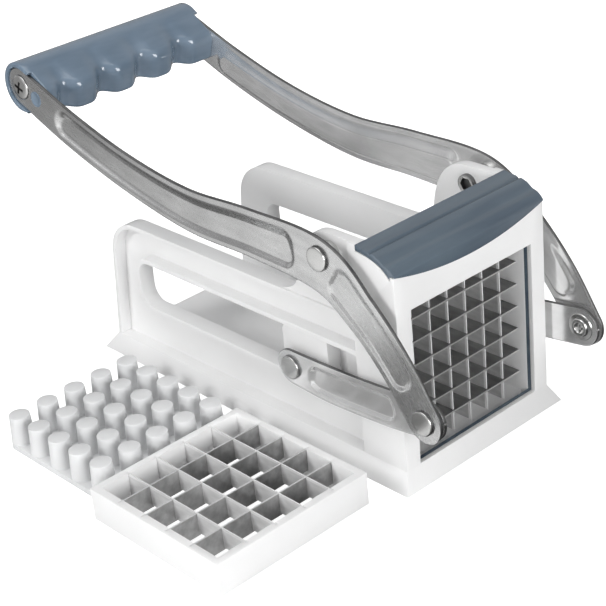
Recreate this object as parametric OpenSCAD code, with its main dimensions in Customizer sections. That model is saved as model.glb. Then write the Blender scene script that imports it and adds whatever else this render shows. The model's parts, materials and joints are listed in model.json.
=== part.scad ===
// French fry cutter with a hand lever. A white moulded housing carries a trough, and a
// blade holder stands in the block at its front. Two cranked steel arms with a hand grip
// turn on the block's ears, and two links make them draw a pusher along the trough, which
// drives the potato through the blades. A second blade frame and pusher plate lie beside it.
// Millimetres. X runs the way the fries leave, Z is up, and the origin is the centre of
// the base's underside. Left is +Y, right is -Y.

/* [Housing] */
// Length of the base over its flared foot
base_l = 186; // [180:1:192]
// Height of the flared foot
skirt_h = 7.6; // [7:0.2:9]
// How far the foot flares out at the rear
rear_flare = 6; // [4:0.5:8]
// How far the foot flares out at the front
front_flare = 3.8; // [3:0.2:6]
// How far the foot flares out at the sides
side_flare = 4.25; // [3.5:0.25:5]
// Thickness of the side wall's panel
panel_t = 2; // [1.6:0.2:2.4]
// How far a side wall's panel lies behind its lips
panel_inset = 5.25; // [4.75:0.25:6]
// Thickness of the lips round the side wall and its slot
lip_t = 2; // [1.6:0.2:2.6]
// Height of the side walls' top edge
wall_top = 65.5; // [60:0.5:70]
// How far the rear edge of a side wall leans forward
wall_lean = 7.2; // [4:0.4:10]
// Radius of the side wall's top rear corner
wall_corner_r = 18; // [12:1:20]
// Height of the trough's floor
floor_z = 5.6; // [5.4:0.1:6]
// Thickness of the trough's floor
floor_t = 2.4; // [2:0.2:3]
// Thickness of the ribs under the floor
rib_t = 2.4; // [2:0.2:3]

/* [Guide slots] */
// Height of a slot's lower edge
slot_z = 29.1; // [28:0.1:29.4]
// Height of the slot itself
slot_h = 20.4; // [20:0.2:22]
// Distance from the base's rear end to the slot
slot_back = 28.5; // [26:0.5:29]
// Distance from the slot's front end to the front block
slot_stop = 11.1; // [10.6:0.1:11.4]
// Radius of the slot's rear corners
slot_r = 6.5; // [4:0.5:9]

/* [Front block] */
// Length of the front block
block_l = 22.6; // [22.4:0.1:23]
// Height of the block above the field of cells
block_rise = 24.6; // [23:0.2:28]
// Thickness of the block's front wall
front_wall_t = 2; // [1.8:0.1:2.2]
// Thickness of the block's rear wall
rear_wall_t = 4; // [3.4:0.2:4.2]
// Width of the trough, and of the square field of cells that it leads to
open_w = 66; // [60:0.5:72]
// Height of the front opening's sill above the trough's floor
open_sill = 2.4; // [2:0.1:3]
// Thickness of the ears that carry the arms
ear_t = 4.2; // [3.6:0.1:4.4]
// Distance from the pivot back to where an ear's curve leaves the side wall
ear_foot = 32; // [28:0.5:36]
// Distance from the pivot back to an ear's rear edge
ear_back = 19.4; // [17:0.2:21]

/* [Lever] */
// Distance of the arms' pivot behind the block's rear face
pivot_back = 9.6; // [8.6:0.2:11]
// Distance of the arms' pivot below the block's top
pivot_drop = 7.2; // [6:0.2:9]
// Distance from the pivot to the handle's axis
arm_reach = 181.9; // [165:1:195]
// Angle of the handle above the pivot's level as it stands
arm_rise = 8.75; // [6:0.25:12]
// Distance from the pivot to the link's pin
crank_r = 69.8; // [68:0.2:71]
// Angle of the link's pin below the pivot's level as it stands
crank_drop = 46.6; // [45:0.2:48]
// Full width of an arm at its pivot
arm_w = 22.6; // [21:0.2:24]
// Thickness of the arms' sheet
arm_t = 1.4; // [1.2:0.1:1.6]
// Depth of the channel pressed into the long part of an arm
arm_press = 1.3; // [0.8:0.1:1.6]
// Depth of the channel pressed into the short part of an arm
crank_press = 0.7; // [0.5:0.1:0.7]

/* [Links] */
// Distance between the two pins of a link
link_l = 72.1; // [71:0.1:73]
// Height of the pusher's pins
pin_z = 34.3; // [34:0.1:38]
// Full width of a link
link_w = 16.2; // [15:0.2:17]
// Thickness of the links' sheet
link_t = 1.3; // [1.1:0.1:1.5]
// Depth of the channel pressed into a link
link_press = 1.1; // [0.6:0.1:1.3]
// Gap between the side wall and the link
side_gap = 2.05; // [1.9:0.05:2.4]
// Gap between the link and the arm
arm_gap = 1; // [1:0.05:1.3]

/* [Pins and screws] */
// Diameter of the pivot posts and of the pusher's shaft
shaft_d = 6; // [5:0.1:6.4]
// Running gap round a pin, on the radius
run_gap = 0.05; // [0.02:0.01:0.09]
// Diameter of the flat heads
head_d = 9.8; // [9:0.2:10.6]
// Height of the flat heads
head_t = 1.3; // [1:0.1:1.6]
// Diameter of the screws in the posts and in the handle
screw_d = 4; // [3:0.1:4.2]

/* [Handle] */
// Radius of the grip's round back
grip_r = 11; // [10.8:0.1:12]
// Reach of the finger lobes in front of the handle's axis
lobe_reach = 19; // [18:0.5:22]
// Height of the lobes' front
lobe_h = 14; // [12:0.5:15]
// Radius of the lobes' upper edge
lobe_r = 5; // [3:0.5:5.5]
// Angle at which the lobes lean down from the level
lobe_lean = 18; // [10:1:24]
// Depth of the grooves between the lobes
groove_h = 5; // [3:0.2:5.6]
// How far the grip's end rims stand past the arms
rim_proud = 0.8; // [0.4:0.1:1.2]
// Diameter of the rod inside the grip
rod_d = 7; // [6.6:0.1:8]

/* [Blades] */
// Thickness of a blade frame's rim
cassette_rim = 3.3; // [3:0.1:3.4]
// Depth of a blade frame
cassette_t = 13.9; // [13.5:0.1:14.1]
// Thickness of a cutting strip
strip_t = 0.5; // [0.4:0.05:0.7]
// Depth of the strips that lie in front
strip_h = 9.6; // [9:0.1:9.8]
// How much less the crossing strips reach forward
strip_step = 1; // [0.6:0.1:1.4]

/* [Blade holder] */
// Thickness of the holder's front frame
holder_t = 1.5; // [1.3:0.1:1.7]
// Thickness of the holder's side rails
rail_t = 1.5; // [1.3:0.05:1.5]
// Thickness of the cap's shell
cap_t = 2.2; // [2:0.1:2.6]
// How far the cap's front edge hangs lower in the middle
cap_sag = 5.8; // [4:0.2:7]
// How much lower the cap's front edge lies at the sides than its rear edge
cap_fall = 7.6; // [6:0.2:9]

/* [Pusher] */
// Length of a guide shoe
shoe_l = 25; // [23:0.5:26]
// Distance of the guide shoes behind the slots' front ends as the cutter stands
shoe_back = 6; // [6:0.5:8]
// Distance of the pusher plate's back in front of the slots' front ends as it stands
plate_lead = 0.5; // [0.2:0.1:0.8]
// Thickness of the carriage's plate and cheeks
carriage_t = 3; // [2.6:0.1:3.2]
// Clearance round the carriage's plate and the fine pusher plate in the trough
plate_play = 0.35; // [0.35:0.05:0.6]
// The same round the coarse pusher plate
coarse_plate_play = 0.75; // [0.5:0.05:1]
// Thickness of a pusher plate
plate_t = 2.5; // [2:0.1:3]
// Length of the pegs
peg_l = 12; // [10:0.5:12]

/* [Pieces beside the cutter] */
// Clear distance between the foot and the spare pieces
spare_gap = 11.5; // [8:0.5:40]
// Distance of the spare blade frame's centre in front of the base's centre
spare_blade_x = 48; // [44:1:60]
// Distance of the spare pusher plate's centre behind the base's centre
spare_plate_x = 26; // [24:1:60]

/* [Hidden] */

// Overrun of every cut past the face that it leaves
over = 1;
// Clearance between pieces that slide in or seat
fit_gap = 0.2;
// Clearance between the cap and the block under it
cap_gap = 0.3;
// Side play of the arms and links between their spacers and heads
side_play = 0.1;
// Steps in a curve, and between neighbouring points of an arm's or a link's line
curve_n = 24;
path_n = 8;

white = [0.93, 0.93, 0.93];
blue_grey = [0.40, 0.47, 0.54];
steel = [0.68, 0.68, 0.67];
$fn = 48;

// Housing, lengthwise
base_x0 = -base_l / 2;
base_x1 = base_l / 2;
wall_x0 = base_x0 + rear_flare;
block_x1 = base_x1 - front_flare;
block_x0 = block_x1 - block_l;
slot_x0 = base_x0 + slot_back;
slot_x1 = block_x0 - slot_stop;

// Housing, from the middle outward
panel_y0 = open_w / 2;
panel_y1 = panel_y0 + panel_t;
ear_y1 = panel_y1 + ear_t;
body_y = panel_y1 + panel_inset;
body_w = 2 * body_y;
base_w = body_w + 2 * side_flare;

// Heights that follow the field of cells
grid_z = floor_z + open_w / 2;
open_z = floor_z + open_sill;
open_h_share = 0.983;
open_h = open_h_share * open_w;
block_top = floor_z + open_w + block_rise;
pivot_z = block_top - pivot_drop;
cap_front_z = block_top - cap_fall;

// Blade frames, their strips and the pusher plates, which all follow the cells
cassette_w = open_w + 2 * cassette_rim;
fine_n = 7;
coarse_n = 5;
fine_pitch_share = 0.147;
coarse_pitch_share = 0.2065;
fine_pitch = fine_pitch_share * open_w;
coarse_pitch = coarse_pitch_share * open_w;
plate_w = open_w - 2 * plate_play;
coarse_plate_w = open_w - 2 * coarse_plate_play;

// Pivots, in the side view
pivot = [block_x0 - pivot_back, pivot_z];
grip_axis = pivot + arm_reach * [-cos(arm_rise), sin(arm_rise)];
crank_pin = pivot + crank_r * [cos(crank_drop), -sin(crank_drop)];
pin_x = crank_pin[0] - sqrt(pow(link_l, 2) - pow(crank_pin[1] - pin_z, 2));
pusher_pin = [pin_x, pin_z];

// Layers beside the wall, from the wall outward
link_y = body_y + side_gap;
arm_y = link_y + link_t + arm_gap;
arm_y1 = arm_y + arm_t;

// Blade holder
pocket_y = panel_y1 + 0.74 * ear_t;
holder_y = pocket_y - fit_gap;
holder_x1 = block_x1 - front_wall_t - fit_gap;
cassette_x1 = holder_x1 - holder_t;
cassette_x0 = cassette_x1 - cassette_t;
cap_x0 = block_x0 + rear_wall_t + fit_gap;
// The cap's front skirt, which stands a little in front of the block
skirt_x0 = block_x1 - front_wall_t;
nose_proud = 0.3 * front_wall_t;

// Shapes in the side view and across, and their extrusions

// Points of an arc round c
function arc(c, r, a0, a1, n) =
    [for (i = [0:n]) c + r * [cos(a0 + (a1 - a0) * i / n), sin(a0 + (a1 - a0) * i / n)]];

// Points of a cubic curve with the four control points p
function curve(p, n = curve_n) =
    [for (i = [0:n]) let (t = i / n, u = 1 - t)
        u * u * u * p[0] + 3 * u * u * t * p[1] + 3 * u * t * t * p[2] + t * t * t * p[3]];

// A smooth line through the points p, with n steps between neighbours
function through(p, n = path_n) =
    let (q = concat([2 * p[0] - p[1]], p, [2 * p[len(p) - 1] - p[len(p) - 2]]))
    concat([for (i = [0:len(p) - 2], k = [0:n - 1]) let (t = k / n)
        0.5 * (2 * q[i + 1] + (q[i + 2] - q[i]) * t
            + (2 * q[i] - 5 * q[i + 1] + 4 * q[i + 2] - q[i + 3]) * t * t
            + (3 * q[i + 1] - q[i] - 3 * q[i + 2] + q[i + 3]) * t * t * t)],
        [p[len(p) - 1]]);

// A strip along the points s = [x, z, half width], with round ends
function xz(p) = [p[0], p[1]];
function heading(s, i) =
    let (d = xz(s[min(i + 1, len(s) - 1)]) - xz(s[max(i - 1, 0)])) atan2(d[1], d[0]);
function edge(s, i, side) =
    xz(s[i]) + side * s[i][2] * [-sin(heading(s, i)), cos(heading(s, i))];
module strip(s) {
    last = len(s) - 1;
    polygon(concat([for (i = [0:last - 1]) edge(s, i, 1)],
        arc(xz(s[last]), s[last][2], heading(s, last) + 90, heading(s, last) - 90, curve_n),
        [for (i = [last - 1:-1:1]) edge(s, i, -1)],
        arc(xz(s[0]), s[0][2], heading(s, 0) + 270, heading(s, 0) + 90, curve_n)));
}

// The part of a line between two places, which are counted in its points, w times as wide
function part_of(line, places, w) =
    [for (i = [round(places[0] * path_n):round(places[1] * path_n)])
        [line[i][0], line[i][1], line[i][2] * w]];

// A rectangle from corner a to corner b with its corners rounded by r
module round_box(a, b, r) {
    w = b - a;
    translate(a + [r, 0]) square([w[0] - 2 * r, w[1]]);
    translate(a + [0, r]) square([w[0], w[1] - 2 * r]);
    for (x = [a[0] + r, b[0] - r], z = [a[1] + r, b[1] - r]) translate([x, z]) circle(r);
}

// A side-view shape t thick that starts y from the middle, on side 1 or -1
module slab(side, y, t) {
    translate([0, side > 0 ? y + t : -y, 0]) rotate([90, 0, 0]) linear_extrude(t) children();
}

// A side-view shape from the right side to the left, w wide in all
module wide(w) {
    slab(1, -w / 2, w) children();
}

// A shape seen from the front, t thick from x on
module across(x, t) {
    translate([x, 0, 0]) rotate([90, 0, 90]) linear_extrude(t) children();
}

// A round pin, in side view at p, from y outward
module pin(side, p, d, y, t) {
    slab(side, y, t) translate(p) circle(d = d);
}

// Housing

// Side view of the side wall, with its leaning rear edge and round corner, cut back by inset
function wall_rear(z) = wall_x0 + wall_lean * (z - skirt_h) / (wall_top - skirt_h);
module wall_shape(inset) {
    top = wall_top - inset;
    low = skirt_h - over;
    r = wall_corner_r - inset;
    lean = atan2(wall_lean, wall_top - skirt_h);
    c = [wall_rear(top - r) + (inset + r) / cos(lean), top - r];
    polygon([[wall_rear(low) + inset / cos(lean), low], c + r * [-cos(lean), sin(lean)], c,
        [c[0], top], [block_x0 + over, top], [block_x0 + over, low]]);
    translate(c) circle(r);
}

// Side view of the ear, which rises out of the wall's top in a hollow curve. Each point is
// a share of the way from its foot to its rear edge and a share of its height
ear_rise_shares = [[0, 0], [0.62, 0], [0.92, 0.12], [1, 0.31]];
// The same above that, in shares of the way from the rear edge to the pivot
ear_crown_shares = [[0, 0.31], [0.07, 0.6], [0.28, 1], [0.95, 1]];
module ear_shape() {
    rise = block_top - wall_top;
    foot_x = pivot[0] - ear_foot;
    back_x = pivot[0] - ear_back;
    polygon(concat(
        [[foot_x, wall_top - lip_t]],
        curve([for (s = ear_rise_shares) [foot_x + s[0] * (ear_foot - ear_back),
            wall_top + s[1] * rise]]),
        curve([for (s = ear_crown_shares) [back_x + s[0] * ear_back, wall_top + s[1] * rise]]),
        [[block_x0 + over, block_top], [block_x0 + over, wall_top - lip_t]]));
}

// Side view of the cap's top, lowered by drop, from its rear edge to its nose
cap_nose = [block_x1 + nose_proud, cap_front_z];
cap_line_shares = [[0, 0], [0.42, 0.08], [0.82, 0.32], [1, 1]];
function cap_line(drop) =
    let (rear = [cap_x0, block_top - drop], nose = cap_nose - [drop, drop])
    curve([for (s = cap_line_shares) [rear[0] + s[0] * (nose[0] - rear[0]),
        rear[1] + s[1] * (nose[1] - rear[1])]]);

// Front view of the cap's lower edge, a shallow arc that hangs lowest in the middle
sag_r = (pow(body_y, 2) + pow(cap_sag, 2)) / (2 * cap_sag);
module sag_shape(gap) {
    translate([0, cap_front_z - cap_sag + sag_r]) circle(r = sag_r + gap, $fn = 180);
}

// Side view of the front block, up to the cap's underside
module block_shape() {
    under = [for (p = cap_line(cap_t + cap_gap)) if (p[0] < skirt_x0) p];
    low = under[len(under) - 1];
    polygon(concat([[block_x0, 0], [block_x1, 0], [block_x1, cap_front_z],
        [skirt_x0 + fit_gap, cap_front_z], [skirt_x0 + fit_gap, low[1]]],
        [for (i = [len(under) - 1:-1:0]) under[i]],
        [[cap_x0 - fit_gap, block_top], [block_x0, block_top]]));
}

// Front view of the opening that the fries leave by
module fry_opening() {
    translate([-open_w / 2, open_z]) square([open_w, open_h]);
}

// The flared foot, cut back on all sides by inset
module foot(inset, top) {
    lift = top / skirt_h;
    intersection() {
        wide(base_w + over) polygon([[base_x0 + inset, 0], [base_x1 - inset, 0],
            [base_x1 - inset - front_flare * lift, top], [base_x0 + inset + rear_flare * lift, top]]);
        across(base_x0 - over, base_l + 2 * over) polygon([
            [-base_w / 2 + inset, 0], [base_w / 2 - inset, 0],
            [base_w / 2 - inset - (base_w / 2 - body_y) * lift, top],
            [-base_w / 2 + inset + (base_w / 2 - body_y) * lift, top]]);
    }
}

// Guide slot, widened by lip. It runs on to x1, where its end is square
module slot_shape(x1, lip) {
    low = [slot_x0, slot_z] - [lip, lip];
    high = [x1, slot_z + slot_h + lip];
    round_box(low, high, slot_r + lip);
    translate([high[0] - 2 * slot_r, low[1]]) square([2 * slot_r, high[1] - low[1]]);
}

skirt_t = 1.1 * lip_t;
module side_wall(side) {
    slab(side, panel_y0, panel_t) difference() {
        wall_shape(0);
        slot_shape(slot_x1, 0);
    }
    // Lips round the wall and round the slot
    slab(side, panel_y0, body_y - panel_y0) difference() {
        union() {
            difference() {
                wall_shape(0);
                wall_shape(lip_t);
            }
            slot_shape(block_x0 + over, lip_t);
        }
        slot_shape(block_x0 + 2 * over, 0);
    }
    slab(side, panel_y1, ear_t) ear_shape();
}

// Length of the ramp at the trough's rear, as a share of the foot's flare there
ramp_share = 0.95;
module housing() color(white) difference() {
    union() {
        foot(0, skirt_h);
        side_wall(1);
        side_wall(-1);
        wide(body_w) block_shape();
    }
    // Trough above the floor, with a ramp at its rear
    wide(open_w) polygon([[wall_x0, skirt_h], [wall_x0 + ramp_share * rear_flare, floor_z],
        [block_x0, floor_z], [block_x0, skirt_h + over], [wall_x0, skirt_h + over]]);
    // Window from the trough to the blades
    across(block_x0 - over, rear_wall_t + 2 * over) translate([0, grid_z])
        square(open_w, center = true);
    // Rear wall's top between the ears lies lower than the ears
    translate([block_x0 - over, -panel_y1, block_top - 4 * cap_t])
        cube([rear_wall_t + 2 * over, 2 * panel_y1, block_top]);
    // Pocket of the blade holder, open above and below
    translate([block_x0 + rear_wall_t, -pocket_y, -over])
        cube([block_l - rear_wall_t - front_wall_t, 2 * pocket_y, block_top + 2 * over]);
    // Opening for the fries
    across(block_x1 - front_wall_t - over, front_wall_t + 2 * over) fry_opening();
    // Front wall's top edge under the cap
    across(skirt_x0 - fit_gap, block_l) intersection() {
        sag_shape(cap_gap);
        translate([-body_w, open_z + open_h]) square([2 * body_w, block_top]);
    }
    // Hollow underside with its ribs
    difference() {
        intersection() {
            translate([base_x0, -base_w / 2, -over])
                cube([block_x0 - rib_t - base_x0, base_w, floor_z - floor_t + over]);
            foot(skirt_t, skirt_h);
        }
        translate([base_x0, -rib_t / 2, -over]) cube([base_l, rib_t, skirt_h]);
        for (x = [-1:1]) translate([x * base_l / 4 - rib_t / 2, -base_w / 2, -over])
            cube([rib_t, base_w, skirt_h]);
    }
    // Bores of the pivot posts
    for (side = [1, -1]) pin(side, pivot, shaft_d, panel_y0, body_y);
}

// Pivots of the arms

spacer_d = 1.55 * shaft_d;
screw_l = 2 * ear_t;
module pivot_post(side) color(steel) difference() {
    union() {
        pin(side, pivot, shaft_d, panel_y1, arm_y1 + side_play - panel_y1);
        pin(side, pivot, head_d, arm_y1 + side_play, head_t);
    }
    pin(side, pivot, screw_d, panel_y1 - over, screw_l + over);
}

// Socket screw that draws the post tight from the ear's inner side
socket_d = 0.82 * head_d;
socket_h = 1.6 * head_t;
module pivot_screw(side) color(steel) difference() {
    union() {
        pin(side, pivot, socket_d, panel_y1 - socket_h, socket_h);
        pin(side, pivot, screw_d, panel_y1 - over, screw_l + over);
    }
    slab(side, panel_y1 - socket_h - over, socket_h / 2 + over) translate(pivot)
        circle(d = socket_d / 2, $fn = 6);
}

module pivot_spacer(side) color(steel) difference() {
    pin(side, pivot, spacer_d, ear_y1, arm_y - side_play - ear_y1);
    pin(side, pivot, shaft_d, ear_y1 - over, arm_y - ear_y1 + 2 * over);
}

// Arms. Shares along the line from the handle to the pivot, shares of the reach above
// it, and half widths as shares of the arm's width at the pivot
arm_path_shares = [[0, 0, 0.375], [0.185, -0.040, 0.385], [0.39, -0.066, 0.39],
    [0.60, -0.068, 0.42], [0.80, -0.035, 0.455]];
// The same from the pivot to the crank pin, as shares of the crank's radius
crank_path_shares = [[0.03, -0.03, 0.5], [0.36, 0.045, 0.43], [0.68, 0.05, 0.40], [1, 0, 0.375]];

function along(a, b, share) =
    let (d = b - a) concat(a + share[0] * d + share[1] * [-d[1], d[0]], [share[2] * arm_w]);
arm_path = through([
    for (s = arm_path_shares) along(grip_axis, pivot, s),
    for (s = crank_path_shares) along(pivot, crank_pin, s)]);

// Width of a channel's back as a share of the sheet's, and where the channels start and end,
// counted in points of the line
channel_share = 0.72;
arm_channel = [0.75, 4.25];
crank_channel = [6, 7.25];

module arm(side) color(steel) difference() {
    inner_share = channel_share - arm_t / arm_w;
    union() {
        slab(side, arm_y, arm_t) strip(arm_path);
        slab(side, arm_y - arm_press, arm_press)
            strip(part_of(arm_path, arm_channel, channel_share));
        slab(side, arm_y - crank_press, crank_press)
            strip(part_of(arm_path, crank_channel, channel_share));
    }
    slab(side, arm_y1 - arm_press, arm_press + over)
        strip(part_of(arm_path, arm_channel, inner_share));
    slab(side, arm_y1 - crank_press, crank_press + over)
        strip(part_of(arm_path, crank_channel, inner_share));
    pin(side, pivot, shaft_d + 2 * run_gap, arm_y - 2 * over, arm_t + 4 * over);
    pin(side, crank_pin, rivet_d, arm_y - over, arm_t + 2 * over);
    pin(side, grip_axis, screw_d + 2 * run_gap, arm_y - over, arm_t + 2 * over);
    pin(side, peg_pin, peg_d + 2 * run_gap, arm_y - over, arm_t + 2 * over);
}

// Rivets at the crank pins. The head and shank are in the arm, and the swaged end is
// in the link
rivet_d = 0.8 * shaft_d;
module crank_rivet(side) color(steel) {
    pin(side, crank_pin, rivet_d, arm_y, arm_t);
    pin(side, crank_pin, head_d, arm_y1, head_t);
}

swage_d = 0.78 * head_d;
swage_t = 0.7 * side_gap;
module link_swage(side) color(steel) difference() {
    union() {
        pin(side, crank_pin, rivet_d, link_y, link_t);
        pin(side, crank_pin, swage_d, link_y - swage_t, swage_t);
    }
    pin(side, crank_pin, 0.55 * rivet_d, link_y - swage_t - over, swage_t + over);
}

// Links. The lower edge is fuller than the upper one
link_path_shares = [[0, 0, 0.46], [0.25, -0.02, 0.50], [0.5, -0.025, 0.50], [0.75, -0.02, 0.50],
    [1, 0, 0.5]];
link_path = through([for (s = link_path_shares) let (d = crank_pin - pusher_pin)
    concat(pusher_pin + s[0] * d + s[1] * [-d[1], d[0]], [s[2] * link_w])]);
link_channel = [1, 3];

module link(side) color(steel) difference() {
    union() {
        slab(side, link_y, link_t) strip(link_path);
        slab(side, link_y - link_press, link_press)
            strip(part_of(link_path, link_channel, channel_share));
    }
    slab(side, link_y + link_t - link_press, link_press + over)
        strip(part_of(link_path, link_channel, channel_share - link_t / link_w));
    pin(side, pusher_pin, shaft_d + 2 * run_gap, link_y - over, link_t + 2 * over);
    pin(side, crank_pin, rivet_d, link_y - over, link_t + 2 * over);
}

// Handle

// A moulded peg on each end of the grip stands in the arm and keeps the grip from turning
peg_d = 1.15 * shaft_d;
peg_pin = grip_axis + 0.97 * grip_r * [cos(lobe_lean), -sin(lobe_lean)];
grip_end = arm_y1 + rim_proud;

// The finger grooves lie nearer the right end. Distance between neighbouring grooves, and
// from the grip's middle to the first one on its left
groove_pitch = 0.466 * arm_y;
groove_shift = 0.32 * groove_pitch;
// The left lobe keeps its full reach up to the arm
groove_end = groove_shift + 1.5 * groove_pitch;
// How far the grooves cut in at y, as a share of their depth
groove_power = 4;
function groove_at(y) =
    y > groove_end ? 0 : pow(abs(cos(180 * (y - groove_shift) / groove_pitch)), groove_power);

// Outline round the circles c = [x, z, radius], with n[i] steps in the arc of circle i
function leave(p, q) =
    let (d = xz(q) - xz(p)) atan2(d[1], d[0]) - acos((p[2] - q[2]) / norm(d));
function around(c, n) = [for (i = [0:len(c) - 1])
    let (a0 = leave(c[(i + len(c) - 1) % len(c)], c[i]), a1 = leave(c[i], c[(i + 1) % len(c)]))
    each arc(xz(c[i]), c[i][2], a0, a1 - 360 * floor((a1 - a0) / 360), n[i])];

// Section of the grip at y: a round back, and lobes with a flat front between two round edges
lobe_top = 0.53 * lobe_h;
lobe_low = lobe_top - lobe_h;
low_edge_r = 0.4 * lobe_r;
section_n = [20, 4, 6];
grip_rings = 44;
function grip_section(y) =
    let (x = lobe_reach - groove_h * groove_at(y))
    [for (p = around([[0, 0, grip_r], [x - low_edge_r, lobe_low + low_edge_r, low_edge_r],
        [x - lobe_r, lobe_top - lobe_r, lobe_r]], section_n))
        grip_axis + [p[0] * cos(lobe_lean) + p[1] * sin(lobe_lean),
            p[1] * cos(lobe_lean) - p[0] * sin(lobe_lean)]];

module handle_grip() color(blue_grey) {
    ys = [for (i = [0:grip_rings]) grip_end * (2 * i / grip_rings - 1)];
    n = len(grip_section(0));
    rings = len(ys);
    difference() {
        polyhedron(
            points = [for (y = ys, p = grip_section(y)) [p[0], y, p[1]]],
            faces = concat([[for (i = [n - 1:-1:0]) i]],
                [for (k = [0:rings - 2], i = [0:n - 1]) let (a = k * n + i, b = k * n + (i + 1) % n)
                    each [[a, b, a + n], [b, b + n, a + n]]],
                [[for (i = [0:n - 1]) (rings - 1) * n + i]]));
        for (side = [1, -1]) slab(side, arm_y, grip_end - arm_y + over) {
            // Seat of the arm's end
            strip([for (p = part_of(arm_path, [0, 1.5], 1)) [p[0], p[1], p[2] + fit_gap]]);
            // The end is open in front of the rim
            translate(grip_axis + [grip_r / 2, -2 * grip_r]) square([2 * lobe_reach, 4 * grip_r]);
        }
        pin(1, grip_axis, rod_d, -grip_end, 2 * grip_end);
    }
    for (side = [1, -1]) pin(side, peg_pin, peg_d, arm_y - over, arm_t + over);
}

module handle_rod() color(steel) difference() {
    pin(1, grip_axis, rod_d, -arm_y, 2 * arm_y);
    for (side = [1, -1]) pin(side, grip_axis, screw_d, arm_y - 3 * screw_d, 3 * screw_d + over);
}

module handle_screw(side) color(steel) difference() {
    union() {
        pin(side, grip_axis, screw_d, arm_y - 2.5 * screw_d, 2.5 * screw_d + arm_t);
        pin(side, grip_axis, 1.12 * head_d, arm_y1, head_t);
    }
    // Cross recess
    slab(side, arm_y1 + head_t / 2, head_t) translate(grip_axis) for (a = [20, 110])
        rotate(a) square([head_d / 2, head_d / 9], center = true);
}

// Pusher

plate_x0 = slot_x1 + plate_lead;
carriage_x0 = plate_x0 - carriage_t;
shoe_x1 = slot_x1 - shoe_back;
shoe_x0 = shoe_x1 - shoe_l;
shoe_y1 = body_y - 0.6 * side_gap;
cheek_y1 = panel_y0 - 2 * fit_gap;
cheek_y0 = cheek_y1 - carriage_t;
hook_z = 1.5 * fine_pitch;
hook_w = 0.83 * coarse_pitch;
hook_t = 0.14 * coarse_pitch;

module carriage_side(side) {
    // Cheek that stiffens the plate and carries the shoe
    slab(side, cheek_y0, carriage_t) polygon([
        [shoe_x0, slot_z - carriage_t], [carriage_x0 + over, grid_z - plate_w / 2],
        [carriage_x0 + over, grid_z + plate_w / 2], [shoe_x1 - shoe_l / 3, slot_z + slot_h + carriage_t],
        [shoe_x0, slot_z + slot_h - carriage_t]]);
    // Shoe in the guide slot
    slab(side, cheek_y0 + carriage_t / 2, shoe_y1 - cheek_y0 - carriage_t / 2) polygon(concat(
        arc([shoe_x0 + slot_r / 2, slot_z + fit_gap + slot_r / 2], slot_r / 2, 270, 180, curve_n / 4),
        arc([shoe_x0 + slot_r / 2, slot_z + slot_h - fit_gap - slot_r / 2], slot_r / 2, 180, 90,
            curve_n / 4),
        [[shoe_x1, slot_z + slot_h - fit_gap], [shoe_x1, slot_z + fit_gap]]));
}

module pusher_carriage() color(white) difference() {
    union() {
        across(carriage_x0, carriage_t) translate([0, grid_z]) square(plate_w, center = true);
        carriage_side(1);
        carriage_side(-1);
        // Level web that holds the shaft between the cheeks
        translate([shoe_x0, -cheek_y0 - over, pin_z - carriage_t * 2.2])
            cube([carriage_x0 - shoe_x0 + over, 2 * (cheek_y0 + over), carriage_t * 0.8]);
        // Upright rib behind the plate
        wide(carriage_t) polygon([[shoe_x0, pin_z - carriage_t * 2], [carriage_x0 + over,
            pin_z - carriage_t * 2], [carriage_x0 + over, grid_z + plate_w / 2 - carriage_t],
            [shoe_x1 - carriage_t, pin_z + shaft_d * 2], [shoe_x0, pin_z + shaft_d]]);
        // Hooks that hold the pusher plate
        for (s = [1, -1]) translate([plate_x0 - over, -hook_w / 2 + fit_gap,
            grid_z + s * hook_z - hook_t / 2 + fit_gap])
            cube([plate_t + over, hook_w - 2 * fit_gap, hook_t - 2 * fit_gap]);
    }
    pin(1, pusher_pin, shaft_d, -body_w, 2 * body_w);
}

module pusher_shaft() color(steel) {
    end = link_y + link_t + side_play;
    pin(1, pusher_pin, shaft_d, -end, 2 * end);
    for (side = [1, -1]) pin(side, pusher_pin, head_d, end, head_t);
}

module shaft_spacer(side) color(steel) difference() {
    pin(side, pusher_pin, spacer_d, shoe_y1, link_y - side_play - shoe_y1);
    pin(side, pusher_pin, shaft_d, shoe_y1 - over, link_y - shoe_y1 + 2 * over);
}

// A pusher plate with n by n tapered pegs, lying on its back
module round_square(w, r) {
    square([w, w - 2 * r], center = true);
    square([w - 2 * r, w], center = true);
    for (x = [1, -1], y = [1, -1]) translate([x, y] * (w / 2 - r)) circle(r);
}

// Radius of a peg's foot and tip, as shares of the plate's corner radius
peg_foot_share = 0.98;
peg_tip_share = 0.86;
module peg_plate(n, pitch, w, slots) {
    r = (w - (n - 1) * pitch) / 2;
    difference() {
        linear_extrude(plate_t) round_square(w, r);
        for (y = slots) translate([-hook_w / 2, y - hook_t / 2, -over])
            cube([hook_w, hook_t, plate_t + 2 * over]);
    }
    for (i = [0:n - 1], j = [0:n - 1])
        translate([(i - (n - 1) / 2) * pitch, (j - (n - 1) / 2) * pitch, plate_t])
            cylinder(r1 = r * peg_foot_share, r2 = r * peg_tip_share, h = peg_l, $fn = 24);
}

module pusher_plate() color(white) translate([plate_x0, 0, grid_z]) rotate([0, 90, 0])
    rotate(90) peg_plate(fine_n, fine_pitch, plate_w, [hook_z, -hook_z]);

// Blades

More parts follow.
